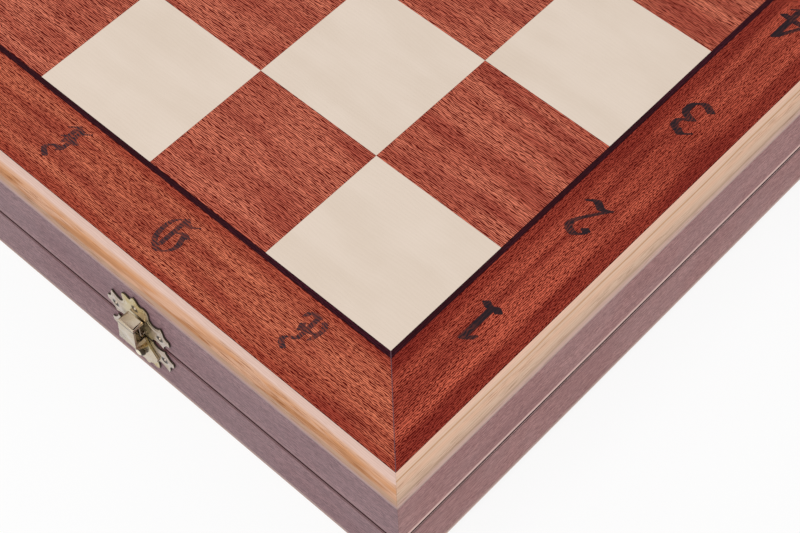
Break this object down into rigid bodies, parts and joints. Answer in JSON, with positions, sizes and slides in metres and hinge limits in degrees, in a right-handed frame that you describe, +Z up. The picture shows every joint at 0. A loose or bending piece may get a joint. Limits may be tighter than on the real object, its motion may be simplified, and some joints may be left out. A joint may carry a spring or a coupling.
{
  "type": "folding chess board",
  "caption": "Folding chess board that shuts into a flat case: two hinged wooden trays with inlaid squares on their outer faces, a lettered border and ornate brass clasps.",
  "frame": {"origin": "centre of the shut board's footprint, on the surface it lies on", "axes": "+X from file a to file h, +Y from the clasps to the fold, +Z up out of the upper playing face"},
  "size_m": [0.5386, 0.2746, 0.0646],
  "materials": {
    "maple": "pale maple veneer, satin lacquer",
    "mahogany": "red-brown mahogany veneer, satin lacquer",
    "stringing": "dark dyed stringing, satin lacquer",
    "pale_wood": "bare pale wood, satin lacquer",
    "side_veneer": "mauve-brown veneer, satin lacquer",
    "felt": "green felt",
    "brass": "aged yellow brass, half polished"
  },
  "bodies": {
    "lower_tray": {"dark_square_a5": "mahogany", "dark_square_a7": "mahogany", "dark_square_b6": "mahogany", "dark_square_b8": "mahogany", "dark_square_c5": "mahogany", "dark_square_c7": "mahogany", "dark_square_d6": "mahogany", "dark_square_d8": "mahogany", "dark_square_e5": "mahogany", "dark_square_e7": "mahogany", "dark_square_f6": "mahogany", "dark_square_f8": "mahogany", "dark_square_g5": "mahogany", "dark_square_g7": "mahogany", "dark_square_h6": "mahogany", "dark_square_h8": "mahogany", "lower_field_panel": "maple", "lower_stringing": "stringing", "lower_border_veneer": "mahogany", "lower_side_veneer": "side_veneer", "lower_front_rail": "pale_wood", "lower_left_rail": "pale_wood", "lower_right_rail": "pale_wood", "lower_back_rail": "pale_wood", "lower_lining": "felt", "left_hinge_lower_leaf": "brass", "right_hinge_lower_leaf": "brass", "left_clasp_base_plate": "brass", "right_clasp_base_plate": "brass"},
    "upper_tray": {"dark_square_a1": "mahogany", "dark_square_a3": "mahogany", "dark_square_b2": "mahogany", "dark_square_b4": "mahogany", "dark_square_c1": "mahogany", "dark_square_c3": "mahogany", "dark_square_d2": "mahogany", "dark_square_d4": "mahogany", "dark_square_e1": "mahogany", "dark_square_e3": "mahogany", "dark_square_f2": "mahogany", "dark_square_f4": "mahogany", "dark_square_g1": "mahogany", "dark_square_g3": "mahogany", "dark_square_h2": "mahogany", "dark_square_h4": "mahogany", "upper_field_panel": "maple", "upper_stringing": "stringing", "upper_border_veneer": "mahogany", "upper_side_veneer": "side_veneer", "upper_front_rail": "pale_wood", "upper_left_rail": "pale_wood", "upper_right_rail": "pale_wood", "upper_back_rail": "pale_wood", "upper_lining": "felt", "left_hinge_upper_leaf": "brass", "right_hinge_upper_leaf": "brass", "left_clasp_catch_plate": "brass", "right_clasp_catch_plate": "brass"},
    "left_clasp_arm": {"left_clasp_swing_arm": "brass"},
    "right_clasp_arm": {"right_clasp_swing_arm": "brass"}
  },
  "joints": [
    {"name": "lid_fold", "type": "hinge", "parent": "lower_tray", "child": "upper_tray", "pos_m": [0, 0.13528, 0.0323], "axis": [-1, 0, 0], "range_deg": [0, 180]},
    {"name": "left_clasp_turn", "type": "hinge", "parent": "lower_tray", "child": "left_clasp_arm", "pos_m": [-0.1461, -0.13087, 0.0219], "axis": [0, 1, 0], "range_deg": [-90, 90]},
    {"name": "right_clasp_turn", "type": "hinge", "parent": "lower_tray", "child": "right_clasp_arm", "pos_m": [0.1461, -0.13087, 0.0219], "axis": [0, 1, 0], "range_deg": [-90, 90]}
  ]
}
